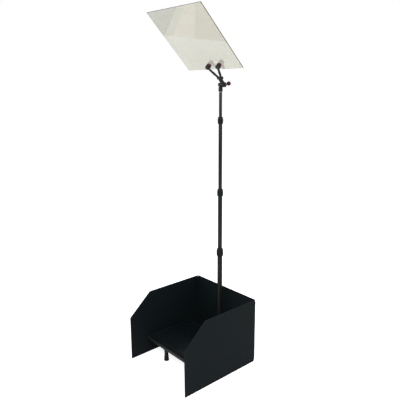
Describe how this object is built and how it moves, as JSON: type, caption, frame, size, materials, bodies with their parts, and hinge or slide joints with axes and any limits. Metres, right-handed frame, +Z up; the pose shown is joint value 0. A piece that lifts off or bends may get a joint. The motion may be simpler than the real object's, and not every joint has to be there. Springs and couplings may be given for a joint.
{
  "type": "teleprompter",
  "caption": "Floor-standing speech teleprompter: flat monitor in an open black hood, telescopic pole behind it, tilting head holding a see-through mirror glass over the screen.",
  "frame": {"origin": "floor level, under the middle of the whole outline", "axes": "+Z up; -Y towards the speaker, the hood's open side; +X to the right when looking along +Y"},
  "size_m": [0.48, 0.502, 1.8605],
  "materials": {
    "powder_coat": "satin black powder coat on folded and tube steel",
    "zinc_plate": "zinc-plated steel",
    "cast_black": "satin black paint on metal",
    "chrome_plate": "polished plate",
    "moulded_black": "fine-grained black moulding",
    "clamp_nylon": "dark grey glass-filled nylon",
    "anodised_tube": "black anodised",
    "rubber": "matt black",
    "sole_rubber": "dark red-brown rubber",
    "red_knob": "deep red moulding",
    "hood_board": "black board with a fine leather-grain face",
    "hook_and_loop": "black tape",
    "screen": "dark screen with an anti-glare face",
    "circuit_board": "green solder mask",
    "beam_splitter": "half-silvered float glass"
  },
  "bodies": {
    "base": {"rail_left": "powder_coat", "rail_right": "powder_coat", "cross_tubes": "powder_coat", "rail_end_caps": "moulded_black", "legs": "anodised_tube", "rubber_feet": "rubber", "foot_soles": "sole_rubber", "pole_socket": "cast_black", "frame_screws": "zinc_plate", "tray": "powder_coat", "tray_screws": "zinc_plate", "monitor_rear_cover": "moulded_black", "monitor_bezel": "moulded_black", "lcd_module": "screen", "main_board": "circuit_board", "power_board": "circuit_board", "signal_sockets": "zinc_plate", "power_inlet": "moulded_black", "rear_panel": "hood_board", "rear_hinge_leaves": "cast_black", "hinge_pins": "zinc_plate", "loop_pads": "hook_and_loop", "pole_tube_1": "anodised_tube", "collet_1": "moulded_black"},
    "socket_tip": {"socket_screw_tip": "moulded_black"},
    "socket_clamp": {"socket_knob": "red_knob"},
    "monitor_button": {"power_button": "moulded_black"},
    "left_wing": {"left_panel": "hood_board", "left_hinge_leaf": "cast_black", "left_hook_pads": "hook_and_loop"},
    "right_wing": {"right_panel": "hood_board", "right_hinge_leaf": "cast_black", "right_hook_pads": "hook_and_loop"},
    "lock_1": {"lock_nut_1": "moulded_black"},
    "section_2": {"pole_tube_2": "anodised_tube", "tube_2_bushes": "moulded_black"},
    "lock_2": {"lock_nut_2": "moulded_black"},
    "section_3": {"pole_tube_3": "anodised_tube", "tube_3_bushes": "moulded_black"},
    "lock_3": {"lock_nut_3": "moulded_black"},
    "section_4": {"pole_tube_4": "anodised_tube", "tube_4_bush": "moulded_black", "top_spigot": "chrome_plate"},
    "swivel": {"head_swivel": "cast_black", "pivot_bolt": "chrome_plate"},
    "lever": {"tilt_lever": "cast_black", "lever_ball": "red_knob"},
    "glass_carrier": {"tilt_bracket": "cast_black", "left_arm": "anodised_tube", "right_arm": "anodised_tube", "left_clamp_body": "clamp_nylon", "right_clamp_body": "clamp_nylon", "clamp_bolts": "moulded_black", "front_pads": "rubber", "mirror_glass": "beam_splitter"},
    "left_jaw": {"left_jaw_pad": "moulded_black"},
    "left_screw": {"left_clamp_knob": "red_knob"},
    "right_jaw": {"right_jaw_pad": "moulded_black"},
    "right_screw": {"right_clamp_knob": "red_knob"}
  },
  "joints": [
    {"name": "socket_tip_slide", "type": "slide", "parent": "base", "child": "socket_tip", "axis": [1, 0, 0], "range_m": [0, 0.0026]},
    {"name": "socket_knob_turn", "type": "hinge", "parent": "socket_tip", "child": "socket_clamp", "pos_m": [0.03, 0.2075, 0.13], "axis": [1, 0, 0], "range_deg": [0, 720]},
    {"name": "power_button_press", "type": "slide", "parent": "base", "child": "monitor_button", "axis": [0, 0, -1], "range_m": [0, 0.0008], "stiffness_N_per_m": 400, "springref_m": -0.0005},
    {"name": "left_wing_fold", "type": "hinge", "parent": "base", "child": "left_wing", "pos_m": [-0.2375, 0.2485, 0.185], "axis": [0, 0, -1], "range_deg": [0, 90]},
    {"name": "right_wing_fold", "type": "hinge", "parent": "base", "child": "right_wing", "pos_m": [0.2375, 0.2485, 0.185], "axis": [0, 0, 1], "range_deg": [0, 90]},
    {"name": "lock_1_turn", "type": "hinge", "parent": "base", "child": "lock_1", "pos_m": [0, 0.2075, 0.592], "axis": [0, 0, 1], "range_deg": [0, 90]},
    {"name": "section_2_slide", "type": "slide", "parent": "base", "child": "section_2", "axis": [0, 0, 1], "range_m": [-0.3, 0.07]},
    {"name": "lock_2_turn", "type": "hinge", "parent": "section_2", "child": "lock_2", "pos_m": [0, 0.2075, 0.936], "axis": [0, 0, 1], "range_deg": [0, 90]},
    {"name": "section_3_slide", "type": "slide", "parent": "section_2", "child": "section_3", "axis": [0, 0, 1], "range_m": [-0.35, 0.03]},
    {"name": "lock_3_turn", "type": "hinge", "parent": "section_3", "child": "lock_3", "pos_m": [0, 0.2075, 1.327], "axis": [0, 0, 1], "range_deg": [0, 90]},
    {"name": "section_4_slide", "type": "slide", "parent": "section_3", "child": "section_4", "axis": [0, 0, 1], "range_m": [-0.125, 0.24]},
    {"name": "head_pan", "type": "hinge", "parent": "section_4", "child": "swivel", "pos_m": [0, 0.2075, 1.49], "axis": [0, 0, 1], "continuous": true},
    {"name": "lever_turn", "type": "hinge", "parent": "swivel", "child": "lever", "pos_m": [0.041, 0.2075, 1.511], "axis": [1, 0, 0], "range_deg": [-90, 0]},
    {"name": "glass_tilt", "type": "hinge", "parent": "swivel", "child": "glass_carrier", "pos_m": [0.0237, 0.2075, 1.511], "axis": [1, 0, 0], "range_deg": [-45, 45]},
    {"name": "left_jaw_slide", "type": "slide", "parent": "glass_carrier", "child": "left_jaw", "axis": [0, -0.7071, -0.7071], "range_m": [0, 0.002]},
    {"name": "left_knob_turn", "type": "hinge", "parent": "left_jaw", "child": "left_screw", "pos_m": [-0.016, 0.1387, 1.60371], "axis": [0, -0.7071, -0.7071], "range_deg": [0, 720]},
    {"name": "right_jaw_slide", "type": "slide", "parent": "glass_carrier", "child": "right_jaw", "axis": [0, -0.7071, -0.7071], "range_m": [0, 0.002]},
    {"name": "right_knob_turn", "type": "hinge", "parent": "right_jaw", "child": "right_screw", "pos_m": [0.06, 0.1387, 1.60371], "axis": [0, -0.7071, -0.7071], "range_deg": [0, 720]}
  ],
  "couplings": [
    {"joint": "socket_tip_slide", "follows": "socket_knob_turn", "m_per_rad": 0.0001989},
    {"joint": "left_jaw_slide", "follows": "left_knob_turn", "m_per_rad": 0.0001592},
    {"joint": "right_jaw_slide", "follows": "right_knob_turn", "m_per_rad": 0.0001592}
  ]
}
